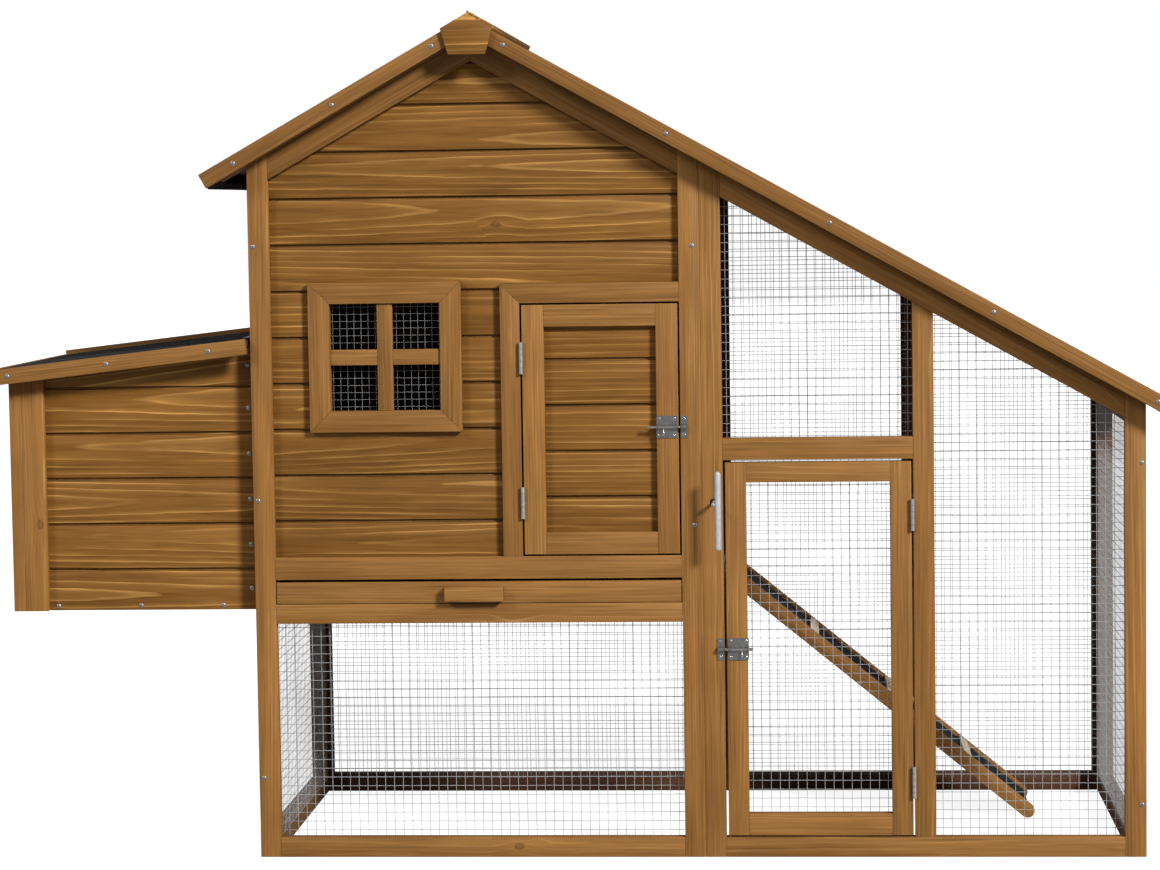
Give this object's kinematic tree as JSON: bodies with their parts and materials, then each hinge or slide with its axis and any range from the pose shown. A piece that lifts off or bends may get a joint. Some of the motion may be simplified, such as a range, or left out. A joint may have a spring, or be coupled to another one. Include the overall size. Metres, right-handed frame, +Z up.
{
  "type": "chicken coop",
  "caption": "Gabled timber hen house on legs with a side nest box, pull-out tray and a wire run with door and ramp under one long roof slope.",
  "frame": {"origin": "centre of the bounding box's bottom face, on the ground", "axes": "+X to the right seen from the front, from the nest box towards the run; +Y from the front face to the back; +Z up"},
  "size_m": [2.0958, 0.746, 1.4678],
  "materials": {
    "frame_fir": "stained, satin",
    "board_fir": "stained, satin",
    "perch_wood": "planed, raw",
    "roof_felt": "mineral grit",
    "ramp_felt": "mineral grit",
    "wire": "galvanised",
    "galvanised": "galvanised",
    "bright_steel": "zinc plated"
  },
  "bodies": {
    "coop": {"front_posts": "frame_fir", "back_posts": "frame_fir", "front_rails": "frame_fir", "back_rails": "frame_fir", "window_frame": "frame_fir", "window_mesh": "wire", "door_surround": "frame_fir", "front_boards": "board_fir", "back_boards": "board_fir", "front_mesh": "wire", "back_mesh": "wire", "left_side_frame": "frame_fir", "left_side_boards": "board_fir", "left_side_mesh": "wire", "right_side_frame": "frame_fir", "right_side_mesh": "wire", "partition_frame": "frame_fir", "partition_boards": "board_fir", "roof_boards": "board_fir", "roof_battens": "frame_fir", "roof_felt": "roof_felt", "bargeboards": "frame_fir", "ridge_cover": "board_fir", "ridge_caps": "board_fir", "nest_frame": "frame_fir", "nest_boards": "board_fir", "nest_floor": "board_fir", "nest_divider": "board_fir", "fixed_hinge_leaves": "galvanised", "bolt_keeps": "galvanised", "tray_runners": "frame_fir", "perches": "perch_wood", "perch_cradles": "frame_fir", "pop_door_tracks": "frame_fir", "ramp_hinge_pin": "galvanised", "screws": "galvanised"},
    "house_door": {"house_door_frame": "frame_fir", "house_door_boards": "board_fir", "house_door_hinge_leaves": "galvanised", "house_bolt_plate": "galvanised"},
    "house_bolt_bar": {"house_bolt": "bright_steel"},
    "run_door": {"run_door_frame": "frame_fir", "run_door_mesh": "wire", "run_door_hinge_leaves": "galvanised", "run_bolt_plate": "galvanised"},
    "run_bolt_bar": {"run_bolt": "bright_steel"},
    "tray": {"tray_front": "frame_fir", "tray_pan": "galvanised", "tray_handle": "frame_fir"},
    "nest_lid": {"nest_lid_boards": "board_fir", "nest_lid_felt": "roof_felt", "nest_lid_trim": "frame_fir", "nest_lid_hinge_leaves": "galvanised", "nest_lid_screws": "galvanised"},
    "pop_door": {"pop_door_panel": "board_fir", "pop_door_pull": "galvanised"},
    "ramp": {"ramp_boards": "frame_fir", "ramp_felt": "ramp_felt", "ramp_cleats": "perch_wood", "ramp_straps": "galvanised"}
  },
  "joints": [
    {"name": "house_door_hinge", "type": "hinge", "parent": "coop", "child": "house_door", "pos_m": [-0.09751, -0.3292, 0.75], "axis": [0, 0, -1], "range_deg": [0, 120]},
    {"name": "run_door_hinge", "type": "hinge", "parent": "coop", "child": "run_door", "pos_m": [0.57329, -0.3292, 0.362], "axis": [0, 0, 1], "range_deg": [0, 120]},
    {"name": "house_bolt_slide", "type": "slide", "parent": "house_door", "child": "house_bolt_bar", "axis": [1, 0, 0], "range_m": [-0.004, 0.015]},
    {"name": "run_bolt_slide", "type": "slide", "parent": "run_door", "child": "run_bolt_bar", "axis": [-1, 0, 0], "range_m": [-0.004, 0.012]},
    {"name": "tray_slide", "type": "slide", "parent": "coop", "child": "tray", "axis": [0, -1, 0], "range_m": [0, 0.55]},
    {"name": "nest_lid_hinge", "type": "hinge", "parent": "coop", "child": "nest_lid", "pos_m": [-0.57321, 0, 0.91456], "axis": [0, 1, 0], "range_deg": [0, 72]},
    {"name": "pop_door_slide", "type": "slide", "parent": "coop", "child": "pop_door", "axis": [0, -1, 0], "range_m": [0, 0.215]},
    {"name": "ramp_hinge", "type": "hinge", "parent": "coop", "child": "ramp", "pos_m": [0.23689, 0.125, 0.46743], "axis": [0, -1, 0], "range_deg": [0, 15]}
  ]
}
